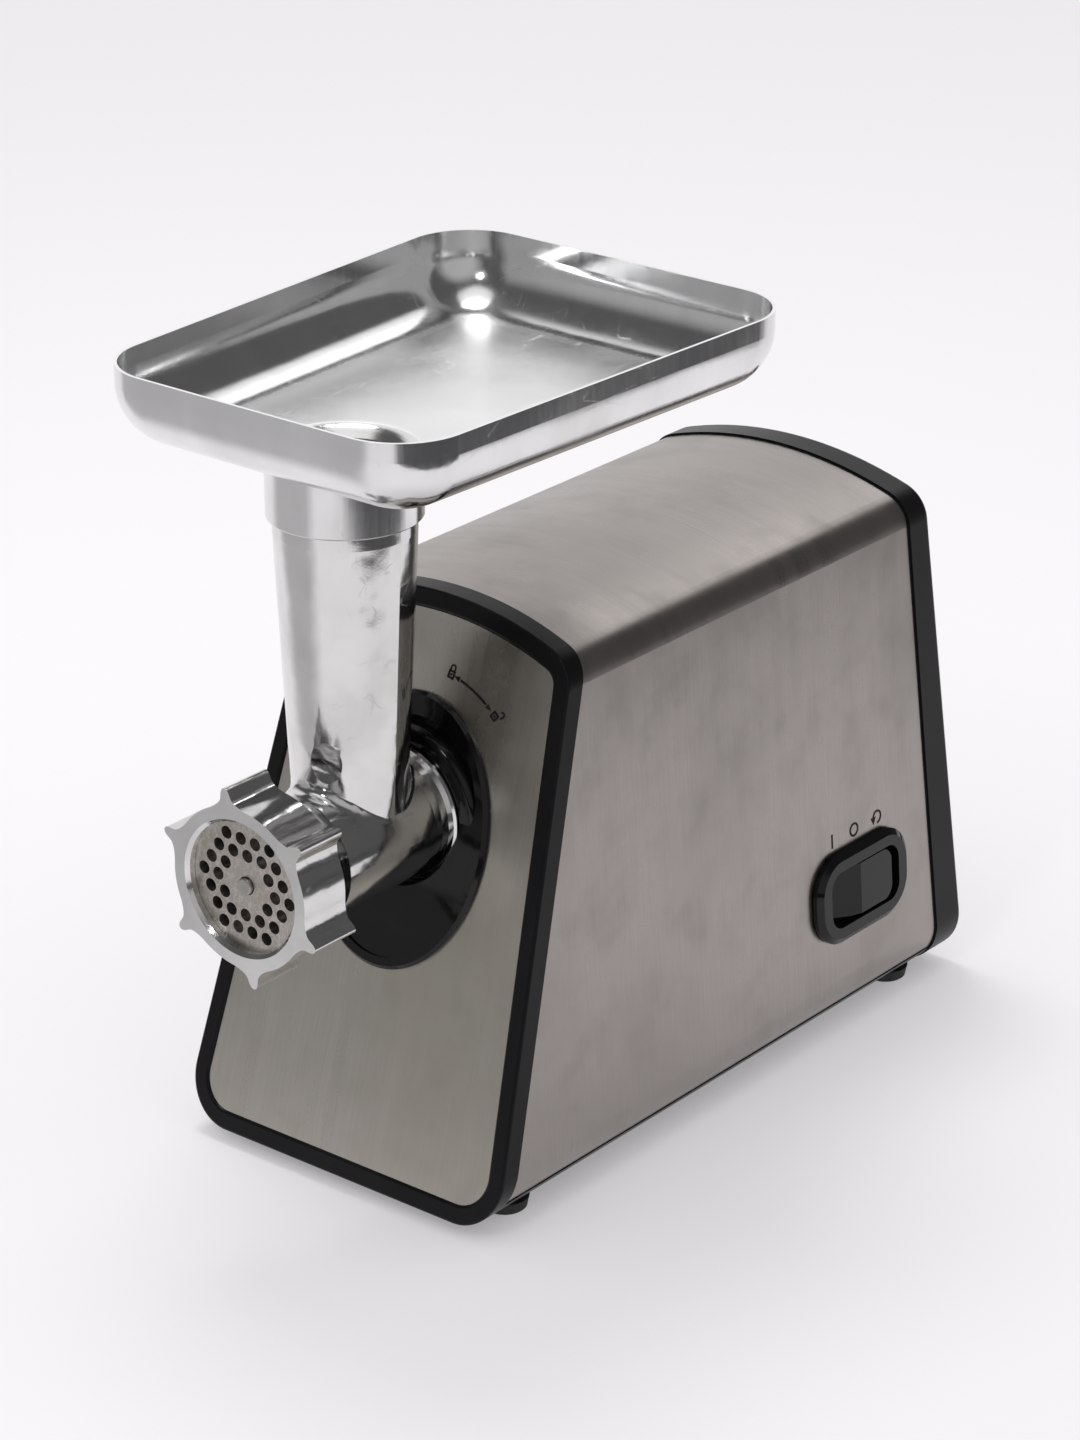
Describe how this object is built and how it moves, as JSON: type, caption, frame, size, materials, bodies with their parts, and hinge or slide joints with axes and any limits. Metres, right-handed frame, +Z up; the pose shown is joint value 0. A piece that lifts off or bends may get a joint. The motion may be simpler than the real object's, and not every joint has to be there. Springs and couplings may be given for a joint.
{
  "type": "electric meat grinder",
  "caption": "Countertop electric meat grinder: brushed steel housing with leaning front, die-cast head and feed neck, lobed ring nut, hole plate and lift-off tray.",
  "frame": {"origin": "on the table, on the symmetry plane, midway between the four feet", "axes": "+Z up; the hole plate and ring nut face -Y; the switch is on the +X side"},
  "size_m": [0.1654, 0.3568, 0.3243],
  "materials": {
    "brushed_steel": "vertical brushed grain, satin",
    "black_plastic": "satin black moulding",
    "gloss_black": "polished black moulding",
    "print": "thin black print",
    "rubber": "matt black",
    "zinc_steel": "zinc plated",
    "brass": "plain",
    "cast_zinc": "die cast, as moulded",
    "tool_steel": "ground",
    "bronze": "sintered",
    "lamination": "stacked electrical sheet",
    "copper": "enamelled copper",
    "carbon": "pressed carbon",
    "cast_aluminium": "polished casting",
    "nylon": "natural",
    "plate_steel": "ground, finely scratched",
    "tray_aluminium": "polished pressing"
  },
  "bodies": {
    "housing": {"front_bezel": "black_plastic", "front_plate": "brushed_steel", "escutcheon": "gloss_black", "lock_marks": "print", "steel_wrap": "brushed_steel", "floor_tray": "black_plastic", "rear_bezel": "black_plastic", "rear_panel": "black_plastic", "cord_gland": "rubber", "foot_front_left": "rubber", "foot_front_right": "rubber", "foot_rear_left": "rubber", "foot_rear_right": "rubber", "foot_screws": "zinc_steel", "switch_bezel": "gloss_black", "switch_case": "black_plastic", "switch_terminals": "brass", "switch_marks": "print", "gear_case": "cast_zinc", "gear_case_cover": "cast_zinc", "cluster_pin": "tool_steel", "output_bush": "bronze", "gear_case_screws": "zinc_steel", "stator_core": "lamination", "field_coils": "copper", "motor_bracket_front": "cast_zinc", "motor_bracket_rear": "cast_zinc", "motor_posts": "zinc_steel", "bearing_front": "tool_steel", "bearing_rear": "tool_steel", "brush_holders": "brass", "carbon_brushes": "carbon", "brush_springs": "zinc_steel"},
    "drive": {"output_shaft": "tool_steel", "output_gear": "tool_steel", "auger": "cast_aluminium", "auger_drive_tail": "tool_steel", "auger_stud": "tool_steel", "cutter_blade": "tool_steel"},
    "cluster": {"cluster_pinion": "tool_steel", "cluster_wheel": "nylon"},
    "rotor": {"motor_shaft": "tool_steel", "motor_pinion": "tool_steel", "armature_core": "lamination", "armature_windings": "copper", "commutator": "copper", "cooling_fan": "nylon"},
    "head": {"head_casting": "cast_aluminium", "head_bush": "nylon", "hole_plate": "plate_steel"},
    "nut": {"ring_nut": "cast_aluminium"},
    "tray": {"tray": "tray_aluminium", "tray_sleeve": "tray_aluminium"},
    "rocker": {"switch_rocker": "gloss_black"}
  },
  "joints": [
    {"name": "auger_spin", "type": "hinge", "parent": "housing", "child": "drive", "pos_m": [0, -0.1, 0.1436], "axis": [0, 1, 0], "continuous": true},
    {"name": "cluster_spin", "type": "hinge", "parent": "housing", "child": "cluster", "pos_m": [-0.0324, -0.065, 0.1004], "axis": [0, 1, 0], "continuous": true},
    {"name": "motor_spin", "type": "hinge", "parent": "housing", "child": "rotor", "pos_m": [0, 0.015, 0.08471], "axis": [0, 1, 0], "continuous": true},
    {"name": "head_twist", "type": "hinge", "parent": "housing", "child": "head", "pos_m": [0, -0.11, 0.1436], "axis": [0, 1, 0], "range_deg": [0, 35]},
    {"name": "ring_nut_turn", "type": "hinge", "parent": "head", "child": "nut", "pos_m": [0, -0.193, 0.1436], "axis": [0, -1, 0], "range_deg": [0, 540]},
    {"name": "tray_lift", "type": "slide", "parent": "head", "child": "tray", "axis": [0, 0, 1], "range_m": [0, 0.06]},
    {"name": "switch_rock", "type": "hinge", "parent": "housing", "child": "rocker", "pos_m": [0.06561, 0.08, 0.06193], "axis": [-0.0748, 0, 0.9972], "range_deg": [0, 21]}
  ],
  "couplings": [
    {"joint": "cluster_spin", "follows": "auger_spin", "ratio": -5},
    {"joint": "motor_spin", "follows": "auger_spin", "ratio": 25}
  ]
}
